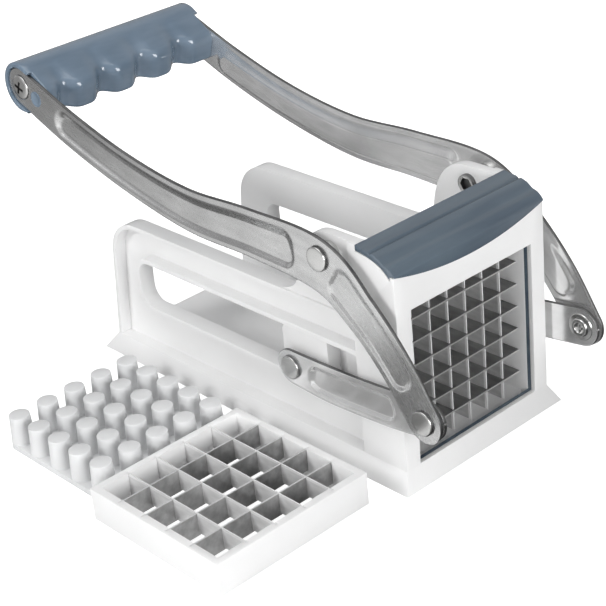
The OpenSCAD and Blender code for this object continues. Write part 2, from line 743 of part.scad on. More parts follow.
// Side of a strip with notches half its height deep for the strips that cross it
strip_l = open_w + 1.1 * cassette_rim;
function notched(xs, z0, z1, cut_z, from_top) =
    let (w = strip_t / 2 + run_gap, e = from_top ? z1 : z0, o = from_top ? z0 : z1,
        l = strip_l / 2)
    concat([[-l, o], [-l, e]],
        [for (x = xs) each [[x - w, e], [x - w, cut_z], [x + w, cut_z], [x + w, e]]],
        [[l, e], [l, o]]);
function places(n, pitch) = [for (i = [1:n - 1]) (i - n / 2) * pitch];
strip_z0 = fit_gap;
strip_z1 = strip_z0 + strip_h;
notch_z = strip_z0 + strip_h / 2;

// The parts of a blade frame lie in the XY plane, with the side that meets the potato below
module cassette(n, pitch) difference() {
    linear_extrude(cassette_t) difference() {
        square(cassette_w, center = true);
        square(open_w, center = true);
    }
    for (p = places(n, pitch)) {
        translate([p - strip_t / 2 - run_gap, -strip_l / 2 - run_gap, -over])
            cube([strip_t + 2 * run_gap, strip_l + 2 * run_gap, strip_z1 + over + run_gap]);
        translate([-strip_l / 2 - run_gap, p - strip_t / 2 - run_gap, -over])
            cube([strip_l + 2 * run_gap, strip_t + 2 * run_gap, strip_z1 + over + run_gap]);
    }
}

module rows(n, pitch) for (p = places(n, pitch)) across(p - strip_t / 2, strip_t)
    polygon(notched(places(n, pitch), strip_z0, strip_z1, notch_z, false));

module columns(n, pitch) for (p = places(n, pitch)) slab(1, p - strip_t / 2, strip_t)
    polygon(notched(places(n, pitch), strip_z0, strip_z1 - strip_step, notch_z, true));

module mounted() {
    translate([cassette_x0, 0, grid_z]) rotate([0, 90, 0]) children();
}

module cassette_frame() color(white) mounted() cassette(fine_n, fine_pitch);
module horizontal_blades() color(steel) mounted() rows(fine_n, fine_pitch);
module vertical_blades() color(steel) mounted() columns(fine_n, fine_pitch);

// Blade holder

module blade_holder() color(blue_grey) {
    bottom = (grid_z - cassette_w / 2 - fit_gap) / 2;
    difference() {
        union() {
            // Rails and front frame, up into the cap
            intersection() {
                across(cap_x0, holder_x1 - cap_x0) translate([-holder_y, bottom])
                    square([2 * holder_y, block_top]);
                wide(body_w) polygon(concat([[cap_x0, 0]], cap_line(cap_t / 2), [[cap_nose[0], 0]]));
            }
            cap();
        }
        // Bay of the blade frame, open to the rear
        across(cap_x0 - over, cassette_x1 - cap_x0 + over) translate([0, grid_z])
            square(cassette_w + 2 * fit_gap, center = true);
        // Space over the blade frame's ledge, under the cap
        intersection() {
            across(cap_x0 - over, cassette_x1 - cap_x0 + over)
                translate([-holder_y + rail_t, grid_z + cassette_w / 2 + holder_t])
                square([2 * (holder_y - rail_t), block_top]);
            wide(body_w) polygon(concat([[cap_x0 - over, 0], [cap_x0 - over, block_top - cap_t]],
                cap_line(cap_t), [[cap_nose[0], 0]]));
        }
        // Opening for the fries, level with the one in the block's front wall
        across(cassette_x1 - over, holder_t + 2 * over) fry_opening();
    }
}

// Cap over the block, with a skirt that hangs in front
module cap() {
    under = cap_line(cap_t);
    inner = [for (i = [len(under) - 1:-1:0]) if (under[i][0] < skirt_x0) under[i]];
    low = cap_front_z - cap_sag - over;
    intersection() {
        wide(body_w) polygon(concat(cap_line(0),
            [[cap_nose[0], low], [skirt_x0, low], [skirt_x0, inner[0][1]]], inner));
        union() {
            across(skirt_x0, block_l) sag_shape(0);
            translate([cap_x0, -body_y, low]) cube([skirt_x0 - cap_x0, body_w, block_top]);
        }
    }
}

// Pieces beside the cutter

spare_y = -base_w / 2 - spare_gap;
// Places of the slots in the coarse pusher plate, as shares of its pitch
spare_slot_shares = [1.42, -1.56];
module spare_blade_place() {
    translate([spare_blade_x, spare_y - cassette_w / 2, cassette_t]) rotate([180, 0, 0]) children();
}

module spare_cassette_frame() color(white) spare_blade_place() cassette(coarse_n, coarse_pitch);
module spare_horizontal_blades() color(steel) spare_blade_place() rows(coarse_n, coarse_pitch);
module spare_vertical_blades() color(steel) spare_blade_place() columns(coarse_n, coarse_pitch);
module spare_pusher_plate() color(white) translate([-spare_plate_x, spare_y - coarse_plate_w / 2, 0])
    peg_plate(coarse_n, coarse_pitch, coarse_plate_w, [for (s = spare_slot_shares) s * coarse_pitch]);

housing();
pivot_post(1);  // pivot_post_left
pivot_post(-1);  // pivot_post_right
pivot_screw(1);  // pivot_screw_left
pivot_screw(-1);  // pivot_screw_right
pivot_spacer(1);  // pivot_spacer_left
pivot_spacer(-1);  // pivot_spacer_right
arm(1);  // arm_left
arm(-1);  // arm_right
handle_grip();
handle_rod();
handle_screw(1);  // handle_screw_left
handle_screw(-1);  // handle_screw_right
crank_rivet(1);  // crank_rivet_left
crank_rivet(-1);  // crank_rivet_right
link(1);  // link_left
link(-1);  // link_right
link_swage(1);  // link_swage_left
link_swage(-1);  // link_swage_right
pusher_carriage();
pusher_shaft();
shaft_spacer(1);  // shaft_spacer_left
shaft_spacer(-1);  // shaft_spacer_right
pusher_plate();
blade_holder();
cassette_frame();
horizontal_blades();
vertical_blades();
spare_cassette_frame();
spare_horizontal_blades();
spare_vertical_blades();
spare_pusher_plate();
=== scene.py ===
"""Hand-lever french fry cutter with its second blade frame and pusher plate beside it."""

import json
from math import acos, atan2, cos, exp, hypot, pi, radians, sin, sqrt

import bpy
import bmesh
from mathutils import Matrix, Vector


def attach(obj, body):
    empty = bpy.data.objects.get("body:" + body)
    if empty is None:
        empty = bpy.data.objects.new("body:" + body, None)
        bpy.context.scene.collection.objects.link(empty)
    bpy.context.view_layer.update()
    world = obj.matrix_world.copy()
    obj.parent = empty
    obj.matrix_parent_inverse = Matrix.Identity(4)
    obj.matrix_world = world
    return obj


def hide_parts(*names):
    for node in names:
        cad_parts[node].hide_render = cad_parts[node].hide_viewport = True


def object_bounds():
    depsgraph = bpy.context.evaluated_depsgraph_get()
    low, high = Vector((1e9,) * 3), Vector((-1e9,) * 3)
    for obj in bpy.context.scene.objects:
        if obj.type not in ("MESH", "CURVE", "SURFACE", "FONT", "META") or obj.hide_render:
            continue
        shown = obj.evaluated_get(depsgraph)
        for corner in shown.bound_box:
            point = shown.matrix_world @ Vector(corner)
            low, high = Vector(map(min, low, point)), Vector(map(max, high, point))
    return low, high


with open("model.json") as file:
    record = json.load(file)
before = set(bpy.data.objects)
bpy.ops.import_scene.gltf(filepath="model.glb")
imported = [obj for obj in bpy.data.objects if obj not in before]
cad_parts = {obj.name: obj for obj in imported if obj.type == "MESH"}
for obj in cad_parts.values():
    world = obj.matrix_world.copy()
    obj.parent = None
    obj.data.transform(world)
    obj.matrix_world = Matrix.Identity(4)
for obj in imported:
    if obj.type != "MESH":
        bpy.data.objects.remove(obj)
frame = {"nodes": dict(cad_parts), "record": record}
cad_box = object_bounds()
scene = bpy.context.scene
MM = 0.001

# Camera: a long lens above the cutter's front right corner, turned a little about its axis,
# as the photograph was taken.
camera = bpy.data.objects.new("camera", bpy.data.cameras.new("camera"))
scene.collection.objects.link(camera)
scene.camera = camera
camera.data.sensor_width = 36
camera.data.lens = 98.1
camera.data.clip_start = 0.02
heading, height, roll = radians(49.57), radians(27.62), radians(-5.84)
back = Vector((sin(heading) * cos(height), -cos(heading) * cos(height), sin(height)))
level = Vector((cos(heading), sin(heading), 0))
upright = back.cross(level)
across = cos(roll) * level + sin(roll) * upright
upward = cos(roll) * upright - sin(roll) * level
eye = (457.4 * MM, -396.1 * MM, 350.0 * MM)
camera.matrix_world = Matrix([(across[k], upward[k], back[k], eye[k]) for k in range(3)]
                             + [(0, 0, 0, 1)])

# Studio: a white table that keeps the soft shadow, a key light from the near left, one softbox
# overhead, two low ones and a weak one behind. The room itself is dim, but the steel mirrors
# its bright side.
scene.view_settings.view_transform = "Standard"


def softbox(name, place, size, power, mirrored=True):
    """A lamp that looks at the cutter. Steel mirrors it only if mirrored is set."""
    lamp = bpy.data.lights.new(name, "AREA")
    lamp.shape = "RECTANGLE"
    lamp.size, lamp.size_y = size
    lamp.energy = power
    ob = bpy.data.objects.new(name, lamp)
    scene.collection.objects.link(ob)
    ob.location = place
    toward = Vector((0, 0, 50 * MM)) - Vector(place)
    ob.rotation_euler = toward.to_track_quat("-Z", "Y").to_euler()
    ob.visible_glossy = mirrored


softbox("overhead", (-0.1, -0.15, 0.95), (0.9, 0.7), 2.6)
softbox("key", (-0.23, -0.87, 0.63), (0.3, 0.25), 4.2, mirrored=False)
softbox("front", (1.01, -0.24, 0.38), (0.5, 0.5), 7.3)
softbox("near_side", (0.09, -1.07, 0.23), (0.7, 0.4), 2.5, mirrored=False)
softbox("rear", (-0.55, 0.75, 0.55), (0.6, 0.5), 3.2, mirrored=False)


def wire(tree, node, inputs):
    """Set each of a node's inputs to a constant, or link it to another node's output."""
    for key, value in inputs.items():
        if isinstance(value, bpy.types.NodeSocket):
            tree.links.new(value, node.inputs[key])
        else:
            node.inputs[key].default_value = value
    return node


def add(tree, kind, inputs=None, **settings):
    """A new shader node with its settings and inputs."""
    node = tree.nodes.new("ShaderNode" + kind)
    for key, value in settings.items():
        setattr(node, key, value)
    return wire(tree, node, inputs or {})


def grey(value):
    return (value, value, value)


world = bpy.data.worlds.new("studio")
world.use_nodes = True
scene.world = world
tree = world.node_tree
tree.nodes.clear()
path = add(tree, "LightPath")
coord = add(tree, "TexCoord")
bright_side = (0.45, -0.75, 0.48)
facing = add(tree, "VectorMath", {0: coord.outputs["Generated"], 1: bright_side},
             operation="DOT_PRODUCT")
share = add(tree, "Math", {0: facing.outputs["Value"], 1: 0.5, 2: 0.5}, operation="MULTIPLY_ADD")
# Bands of the room as the steel mirrors it, from the side turned away from bright_side to
# bright_side itself, which stays white
room = add(tree, "ValToRGB", {0: share.outputs[0]})
room.color_ramp.elements[0].color = (0.40, 0.40, 0.404, 1)
for at, shade in ((0.36, 1.0), (0.56, 0.42), (0.78, 0.85)):
    room.color_ramp.elements.new(at).color = (shade, shade, shade * 1.01, 1)
strength = add(tree, "MapRange", {"Value": path.outputs["Is Glossy Ray"],
                                  "To Min": 0.10, "To Max": 0.62})
ambient = add(tree, "Background", {"Color": room.outputs[0],
                                   "Strength": strength.outputs["Result"]})
white_back = add(tree, "Background", {"Color": (1, 1, 1, 1)})
seen = add(tree, "MixShader", {0: path.outputs["Is Camera Ray"], 1: ambient.outputs[0],
                               2: white_back.outputs[0]})
add(tree, "OutputWorld", {0: seen.outputs[0]})

# The table's own material: matt for the light, a little brighter for the camera, and for the
# steel a painted reflection, darker towards the rear and with a painted shadow beside the cutter
table_white = bpy.data.materials.new("table_white")
table_white.use_nodes = True
tree = table_white.node_tree
tree.nodes.clear()
path = add(tree, "LightPath")
matt = add(tree, "BsdfDiffuse", {"Color": (*grey(0.86), 1)})
glow = add(tree, "Emission", {"Strength": 0.72})
lifted = add(tree, "AddShader", {0: matt.outputs[0], 1: glow.outputs[0]})
coord = add(tree, "TexCoord")
split = add(tree, "SeparateXYZ", {0: coord.outputs["Object"]})
# Painted reflection: as the steel mirrors it, the table is darker towards the rear, and darker
# beside the cutter as a painted shadow
lengthwise = add(tree, "MapRange", {"Value": split.outputs["X"], "From Min": -340 * MM,
                                    "From Max": -20 * MM, "To Min": 0.30, "To Max": 1.05})
sideways = add(tree, "MapRange", {"Value": split.outputs["Y"], "From Min": -150 * MM,
                                  "From Max": 150 * MM})
shaded = add(tree, "ValToRGB", {0: sideways.outputs["Result"]})
shaded.color_ramp.interpolation = "EASE"
shaded.color_ramp.elements[0].color = (1, 1, 1, 1)
shaded.color_ramp.elements[1].color = (*grey(0.45), 1)
for at in (0.25, 0.75):
    shaded.color_ramp.elements.new(at).color = (*grey(0.08), 1)
both = add(tree, "Math", {0: lengthwise.outputs["Result"], 1: shaded.outputs[0]},
           operation="MULTIPLY")
mirrored = add(tree, "Emission", {"Strength": both.outputs[0]})
in_steel = add(tree, "MixShader", {0: path.outputs["Is Glossy Ray"], 1: matt.outputs[0],
                                   2: mirrored.outputs[0]})
seen = add(tree, "MixShader", {0: path.outputs["Is Camera Ray"], 1: in_steel.outputs[0],
                               2: lifted.outputs[0]})
add(tree, "OutputMaterial", {"Surface": seen.outputs[0]})


def made(name, bm, *finishes):
    """An object with the mesh of bm, which is freed."""
    mesh = bpy.data.meshes.new(name)
    bm.to_mesh(mesh)
    bm.free()
    for finish in finishes:
        mesh.materials.append(finish)
    ob = bpy.data.objects.new(name, mesh)
    scene.collection.objects.link(ob)
    return ob


bm = bmesh.new()
bmesh.ops.create_grid(bm, x_segments=8, y_segments=8, size=3)
table = made("table", bm, table_white)
table.location.z = cad_box[0][2] - 0.02 * MM

# Housing: one white ABS moulding with a flared foot, side walls with guide slots, a front
# block and two ears. Its edges are slightly round, as they leave the mould.


def new_group(name, numbers, outputs):
    """A node group that takes a vector and numbers, with its input and output nodes."""
    group = bpy.data.node_groups.new(name, "ShaderNodeTree")
    group.interface.new_socket(name="Vector", in_out="INPUT", socket_type="NodeSocketVector")
    for key, value in numbers.items():
        socket = group.interface.new_socket(name=key, in_out="INPUT", socket_type="NodeSocketFloat")
        socket.default_value = value
    for key in outputs:
        group.interface.new_socket(name=key, in_out="OUTPUT", socket_type="NodeSocketFloat")
    return group, group.nodes.new("NodeGroupInput").outputs, group.nodes.new("NodeGroupOutput")


def mould_grain():
    """The faint cloudiness and the fine eggshell surface of a plastic moulding."""
    group, given, result = new_group("mould_grain", {"Cloud": 30, "Fine": 900}, ("Cloud", "Fine"))
    for name in ("Cloud", "Fine"):
        noise = add(group, "TexNoise", {"Vector": given["Vector"], "Scale": given[name],
                                        "Detail": 3})
        wire(group, result, {name: noise.outputs["Fac"]})
    return group


MOULD_GRAIN = mould_grain()


def blend(tree, share, low, high):
    """The colour between low and high, each a constant or a socket."""
    mix = add(tree, "Mix", {"Factor": share, "A": low, "B": high}, data_type="RGBA")
    return mix.outputs["Result"]


def plastic(name, light, dark, rough, eggshell=0.04, sheen_coat=0.0, inner=0.0, flow=(1, 1, 1)):
    """Moulded plastic: its colour drifts a little between light and dark, drawn out by flow."""
    mat = bpy.data.materials.new(name)
    mat.use_nodes = True
    tree = mat.node_tree
    coord = add(tree, "TexCoord")
    drawn = add(tree, "VectorMath", {0: coord.outputs["Object"], 1: flow}, operation="MULTIPLY")
    grain = add(tree, "Group", {"Vector": drawn.outputs[0]}, node_tree=MOULD_GRAIN)
    drift = add(tree, "MapRange", {"Value": grain.outputs["Cloud"], "From Min": 0.3,
                                   "From Max": 0.7})
    gloss = add(tree, "MapRange", {"Value": grain.outputs["Cloud"], "To Min": rough - 0.05,
                                   "To Max": rough + 0.05})
    skin = add(tree, "Bump", {"Strength": eggshell, "Distance": 0.1 * MM,
                              "Height": grain.outputs["Fine"]})
    wire(tree, tree.nodes["Principled BSDF"], {
        "Base Color": blend(tree, drift.outputs["Result"], (*dark, 1), (*light, 1)),
        "Roughness": gloss.outputs["Result"],
        "Normal": skin.outputs["Normal"],
        "Coat Weight": sheen_coat,
        "Coat Roughness": 0.08,
        "Subsurface Weight": inner,
        "Subsurface Radius": (1, 1, 1),
        "Subsurface Scale": 1.5 * MM})
    return mat


def smoothed(ob, angle):
    """Apply an object's modifiers and shade it smooth up to edges of that angle."""
    bpy.context.view_layer.objects.active = ob
    ob.select_set(True)
    for modifier in list(ob.modifiers):
        bpy.ops.object.modifier_apply(modifier=modifier.name)
    bpy.ops.object.shade_smooth_by_angle(angle=radians(angle))
    ob.select_set(False)


BODY_OF = {node: body for body, nodes in frame["record"]["behaviour"]["bodies"].items()
           for node in nodes}


def eased(node, edge, finish, segments=2, shape=None):
    """The solid of one piece with its edges eased by edge, in place of the bare solid.

    Triangles that lie in one plane are joined first, so that only real edges are left.
    """
    crisp, weld, plane = 28, 0.002 * MM, radians(0.4)
    bm = bmesh.new()
    bm.from_mesh(frame["nodes"][node].data)
    bmesh.ops.remove_doubles(bm, verts=bm.verts, dist=weld)
    bmesh.ops.dissolve_limit(bm, angle_limit=plane, verts=bm.verts, edges=bm.edges)
    bmesh.ops.triangulate(bm, faces=[face for face in bm.faces if len(face.verts) > 4])
    if shape:
        shape(bm)
    ob = made(node + "_piece", bm, finish)
    for face in ob.data.polygons:
        face.use_smooth = True
    ease = ob.modifiers.new("eased", "BEVEL")
    ease.width = edge
    ease.segments = segments
    ease.limit_method = "ANGLE"
    ease.angle_limit = radians(crisp)
    ease.use_clamp_overlap = True
    smoothed(ob, crisp)
    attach(ob, BODY_OF[node])
    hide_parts(node)
    return ob


white_abs = plastic("white_abs", grey(0.86), grey(0.82), 0.34, inner=0.05)
eased("housing", 0.8 * MM, white_abs, segments=3)

# Arms: two cranked strips of stainless sheet, blanked and pressed with a channel in the long
# part and one in the short part, then brushed along their length.


def through(points):
    """A smooth line through the points (x, z, half width)."""
    steps = 16
    p = [tuple(2 * a - b for a, b in zip(points[0], points[1]))] + list(points)
    p.append(tuple(2 * a - b for a, b in zip(points[-1], points[-2])))
    line = []
    for i in range(1, len(p) - 2):
        for k in range(steps):
            t = k / steps
            line.append(tuple(0.5 * (2 * b + (c - a) * t + (2 * a - 5 * b + 4 * c - d) * t * t
                                     + (3 * b - a - 3 * c + d) * t ** 3)
                              for a, b, c, d in zip(p[i - 1], p[i], p[i + 1], p[i + 2])))
    return line + [points[-1]]


def placed(start, end, shares, width):
    """Points given in shares of the way from start to end, and of its length to the left."""
    dx, dz = end[0] - start[0], end[1] - start[1]
    return [(start[0] + a * dx - b * dz, start[1] + a * dz + b * dx, w * width)
            for a, b, w in shares]


def smooth_step(v):
    v = min(max(v, 0), 1)
    return v * v * (3 - 2 * v)


def pressed_strip(name, line, side, y_in, y_out, channels, finish, body, nodes):
    """Sheet along a line, with round ends and pressed channels.

    A channel is (from, to, half width as a share, depth, upper slope, lower slope, corner
    radius). The sheet's section is a closed ring with a small edge radius. Rings run along the
    line, and their width closes as a half circle at both ends. UV runs along and across. The
    rim round the sheet is of a dark steel, as painted shade.
    """
    edge = 0.3 * MM
    mid_edge = edge * 0.29
    lengths = [0]
    for a, b in zip(line, line[1:]):
        lengths.append(lengths[-1] + hypot(b[0] - a[0], b[1] - a[1]))
    total = lengths[-1]

    def at(s):
        """Point and direction of the line at the length s."""
        i = 0
        while i < len(lengths) - 2 and lengths[i + 1] < s:
            i += 1
        t = (s - lengths[i]) / (lengths[i + 1] - lengths[i])
        a, b = line[i], line[i + 1]
        p = [a[k] + (b[k] - a[k]) * t for k in range(3)]
        j, m = max(i - 1, 0), min(i + 2, len(line) - 1)
        d0 = atan2(line[i + 1][1] - line[j][1], line[i + 1][0] - line[j][0])
        d1 = atan2(line[m][1] - line[i][1], line[m][0] - line[i][0])
        return p, d0 + (d1 - d0) * t

    # Stations are (length, half width), with the line's own width where that is None. The
    # outermost ones stay a little off the two tips
    r0, r1 = line[0][2], line[-1][2]
    turns, off_tip, pitch = 14, 0.35, 0.8 * MM
    angles = [0.5 * pi * (k + off_tip) / turns for k in range(turns)]
    steps = int(total / pitch)
    stations = [(-r0 * cos(a), r0 * sin(a)) for a in angles]
    stations += [(total * k / steps, None) for k in range(steps + 1)]
    stations += [(total + r1 * cos(a), r1 * sin(a)) for a in reversed(angles)]

    def depth(s, t):
        """How deep the sheet is pressed at a length along the line and a distance beside it.

        The flanks are mostly straight, with softened corners.
        """
        deep = 0
        for lo, hi, share, press, upper, lower, corner in channels:
            half = share * at(min(max(s, lo), hi))[0][2]
            beyond = max(lo - s, s - hi) + corner
            out = abs(t) - half + corner
            off = hypot(max(beyond, 0), max(out, 0)) + min(max(beyond, out), 0) - corner
            slope = lower + (upper - lower) * smooth_step(0.5 + 0.5 * t / half)
            way = -off / slope
            deep = max(deep, press * (0.7 * min(max(way, 0), 1) + 0.3 * smooth_step(way)))
        return deep

    half_n = 22
    rings, uvs = [], []
    for s, width in stations:
        inside = min(max(s, 0), total)
        p, d = at(inside)
        beyond = s - inside
        c = (p[0] + beyond * cos(d), p[1] + beyond * sin(d))
        n = (-sin(d), cos(d))
        half = width if width is not None else p[2]
        flat = max(half - edge, half * 0.3)
        ts = [flat * k / half_n for k in range(-half_n, half_n + 1)]
        round_t = half - mid_edge if half > 2 * edge else half * 0.7
        loop = [(t, y_out, True) for t in ts]
        loop += [(round_t, y_out - mid_edge, False), (half, y_out - edge, False),
                 (half, y_in + edge, False), (round_t, y_in + mid_edge, False)]
        loop += [(t, y_in, True) for t in reversed(ts)]
        loop += [(-round_t, y_in + mid_edge, False), (-half, y_in + edge, False),
                 (-half, y_out - edge, False), (-round_t, y_out - mid_edge, False)]
        ring, uv = [], []
        for t, y, face in loop:
            y -= depth(s, t) if face else 0
            ring.append((c[0] + t * n[0], side * y, c[1] + t * n[1]))
            uv.append((s, t))
        rings.append(ring)
        uvs.append(uv)
    bm = bmesh.new()
    layer = bm.loops.layers.uv.new("along")
    verts = [[bm.verts.new(p) for p in ring] for ring in rings]
    around = len(rings[0])
    for i in range(len(rings) - 1):
        for k in range(around):
            m = (k + 1) % around
            corners = [(i, k), (i + 1, k), (i + 1, m), (i, m)]
            if side > 0:
                corners.reverse()
            face = bm.faces.new([verts[a][b] for a, b in corners])
            face.smooth = True
            # The rim's faces take the dark steel, as painted shade
            on_face = k < 2 * half_n or 2 * half_n + 4 < k < 4 * half_n + 5
            face.material_index = 0 if on_face else 1
            for loop, (a, b) in zip(face.loops, corners):
                loop[layer].uv = uvs[a][b]
    for i in (0, len(rings) - 1):
        face = bm.faces.new(verts[i])
        for loop, uv in zip(face.loops, uvs[i]):
            loop[layer].uv = uv
    bmesh.ops.recalc_face_normals(bm, faces=bm.faces)
    ob = made(name, bm, finish, painted_shade_steel)
    smoothed(ob, 50)
    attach(ob, body)
    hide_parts(*nodes)
    return ob


def brushed_grain():
    """Fine scratches that run along the sheet, and the softer streaks and smudges in it."""
    group, given, result = new_group("brushed_grain", {"Along": 420, "Across": 1900},
                                     ("Scratch", "Streak", "Smudge"))
    stretch = add(group, "CombineXYZ", {0: given["Along"], 1: given["Across"],
                                        2: given["Across"]})
    drawn = add(group, "VectorMath", {0: given["Vector"], 1: stretch.outputs[0]},
                operation="MULTIPLY")
    for name, source, scale, detail in (("Scratch", drawn.outputs[0], 1.0, 4),
                                        ("Streak", drawn.outputs[0], 0.16, 3),
                                        ("Smudge", given["Vector"], 55, 4)):
        noise = add(group, "TexNoise", {"Vector": source, "Scale": scale, "Detail": detail})
        wire(group, result, {name: noise.outputs["Fac"]})
    return group


BRUSHED_GRAIN = brushed_grain()


def stainless(name, light, dark, rough, scratch, coarse, along=420, across=1900, uv=True,
              metal=1.0, bright=None):
    """Stainless steel with a brushed or tumbled surface.

    Scratch is how deep its grain is, and coarse how far its roughness varies. The last argument
    is (axis, from, shade) of a painted highlight, a band that is painted lighter from there to the
    end of the piece's box, in shares of the box.
    """
    mat = bpy.data.materials.new(name)
    mat.use_nodes = True
    tree = mat.node_tree
    coord = add(tree, "TexCoord")
    grain = add(tree, "Group", {"Vector": coord.outputs["UV" if uv else "Object"],
                                "Along": along, "Across": across}, node_tree=BRUSHED_GRAIN)
    half = add(tree, "Math", {0: grain.outputs["Smudge"], 1: 0.5}, operation="MULTIPLY")
    mixed = add(tree, "Math", {0: grain.outputs["Streak"], 1: 0.5, 2: half.outputs[0]},
                operation="MULTIPLY_ADD")
    contrast = add(tree, "MapRange", {"Value": mixed.outputs[0], "From Min": 0.36,
                                      "From Max": 0.64})
    colour = blend(tree, contrast.outputs["Result"], (*dark, 1), (*light, 1))
    # Painted highlight: a band of the piece painted lighter
    if bright:
        axis, start, shade = bright
        split = add(tree, "SeparateXYZ", {0: coord.outputs["Generated"]})
        ground = add(tree, "MapRange", {"Value": split.outputs[axis], "From Min": start,
                                        "From Max": start + 0.03})
        colour = blend(tree, ground.outputs["Result"], colour, (*grey(shade), 1))
    gloss = add(tree, "MapRange", {"Value": grain.outputs["Scratch"], "From Min": 0.3,
                                   "From Max": 0.7, "To Min": rough - coarse,
                                   "To Max": rough + coarse})
    groove = add(tree, "Bump", {"Strength": scratch, "Distance": 0.05 * MM,
                                "Height": grain.outputs["Scratch"]})
    wire(tree, tree.nodes["Principled BSDF"], {
        "Metallic": metal,
        "Base Color": colour,
        "Roughness": gloss.outputs["Result"],
        "Normal": groove.outputs["Normal"]})
    return mat


arm_steel = stainless("arm_steel", grey(0.80), grey(0.64), 0.27, 0.002, 0.014)
# The left arm, whose inner face is seen, gets a lighter copy of the arm steel: painted light
far_arm_painted_light_steel = stainless("far_arm_painted_light_steel", grey(0.98), grey(0.80), 0.22, 0.006, 0.012, metal=0.84)
# Painted shade: a dark steel for the sheets' rims, the sides of the heads and the walls of recesses
painted_shade_steel = stainless("painted_shade_steel", grey(0.22), grey(0.13), 0.42, 0.1, 0.08, along=900,
                       across=900, uv=False)
pivot = (57.0 * MM, 89.0 * MM)
rise = radians(8.75)
drop = radians(46.6)
reach, crank = 181.9 * MM, 69.8 * MM
grip_axis = (pivot[0] - reach * cos(rise), pivot[1] + reach * sin(rise))
crank_pin = (pivot[0] + crank * cos(drop), pivot[1] - crank * sin(drop))
arm_w = 22.6 * MM
arm_y, arm_y1 = 44.6 * MM, 46.0 * MM
arm_line = through(
    placed(grip_axis, pivot, [(0, 0, 0.375), (0.185, -0.040, 0.385), (0.39, -0.066, 0.39),
                              (0.60, -0.068, 0.42), (0.80, -0.035, 0.455)], arm_w)
    + placed(pivot, crank_pin, [(0.03, -0.03, 0.5), (0.36, 0.045, 0.43), (0.68, 0.05, 0.40),
                                (1, 0, 0.375)], arm_w))
arm_channels = [(24 * MM, 171 * MM, 0.76, 1.6 * MM, 5.2 * MM, 1.1 * MM, 6.2 * MM),
                (191 * MM, 240 * MM, 0.70, 0.8 * MM, 2.4 * MM, 0.9 * MM, 5.0 * MM)]
for side, name, finish in ((1, "left", far_arm_painted_light_steel), (-1, "right", arm_steel)):
    pressed_strip("arm_sheet_" + name, arm_line, side, arm_y, arm_y1, arm_channels, finish,
                  "lever", ["arm_" + name])

# Links: two shorter strips of stainless sheet, pressed with one channel, whose steel is painted
# lighter than the arms' as painted light. Each is swaged to an arm's lower end and turns on the
# end of the pusher's shaft.
# Painted light: a lighter copy of the arms' steel
link_steel = stainless("link_steel", grey(0.97), grey(0.84), 0.20, 0.006, 0.012, metal=0.82)
link_l, link_w, shaft_z = 72.1 * MM, 16.2 * MM, 34.3 * MM
link_y, link_y1 = 42.3 * MM, 43.6 * MM
pusher_pin = (crank_pin[0] - sqrt(link_l ** 2 - (crank_pin[1] - shaft_z) ** 2), shaft_z)
link_line = through(placed(pusher_pin, crank_pin, [
    (0, 0, 0.46), (0.25, -0.02, 0.50), (0.5, -0.025, 0.50), (0.75, -0.02, 0.50), (1, 0, 0.5)],
    link_w))
link_channels = [(10 * MM, 55 * MM, 0.68, 1.2 * MM, 2.2 * MM, 0.8 * MM, 4.4 * MM)]
for side, name in ((1, "left"), (-1, "right")):
    pressed_strip("link_sheet_" + name, link_line, side, link_y, link_y1, link_channels,
                  link_steel, "link_" + name, ["link_" + name])

# Pins, rivets and screws: turned steel. Posts and rivets have low heads with a small round
# edge, and the grip's screws have pan heads with a cross recess.


def turned(name, profile, centre, side, finish, body, nodes):
    """A body of revolution about the sideways axis.

    Profile is (radius, distance from the middle) in mm. A third value makes that ring a
    hexagon, and the hexagon's walls and all others along the axis are of a dark steel, as
    painted shade.
    """
    around = 72
    bm = bmesh.new()
    rings = []
    for r, y, *hexagon in profile:
        if r == 0:
            rings.append([bm.verts.new((centre[0], side * y * MM, centre[1]))])
            continue
        ring = []
        for k in range(around):
            a = 2 * pi * k / around
            out = r * MM
            if hexagon:
                out *= cos(pi / 6) / cos(a % (pi / 3) - pi / 6)
            ring.append(bm.verts.new((centre[0] + out * cos(a), side * y * MM,
                                      centre[1] + out * sin(a))))
        rings.append(ring)
    recess = set()
    for a, b, (r, y, *hexagon) in zip(rings, rings[1:], profile):
        for k in range(around):
            m = (k + 1) % around
            corners = [a[k % len(a)], a[m % len(a)], b[m % len(b)], b[k % len(b)]]
            face = bm.faces.new(list(dict.fromkeys(corners)))
            face.smooth = True
            if hexagon:
                recess.add(face)
    bmesh.ops.recalc_face_normals(bm, faces=bm.faces)
    for face in bm.faces:
        # The sides and the hexagon's walls take the dark steel, as painted shade
        face.material_index = 1 if abs(face.normal.y) < 0.4 or face in recess else 0
    ob = made(name, bm, finish, painted_shade_steel)
    smoothed(ob, 35)
    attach(ob, body)
    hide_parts(*nodes)
    return ob


def low_head(r, y, high):
    """Profile in mm of a low head from its rim to its middle, with a slight crown."""
    edge, crown = 0.45 * high, 0.12
    points = [(r, y)]
    points += [(r - edge + edge * cos(a), y + high - edge + edge * sin(a))
               for a in [0.5 * pi * k / 5 for k in range(6)]]
    points += [(r * f, y + high + crown * (1 - f * f)) for f in (0.7, 0.5, 0.3)]
    return points + [(0, y + high + crown)]


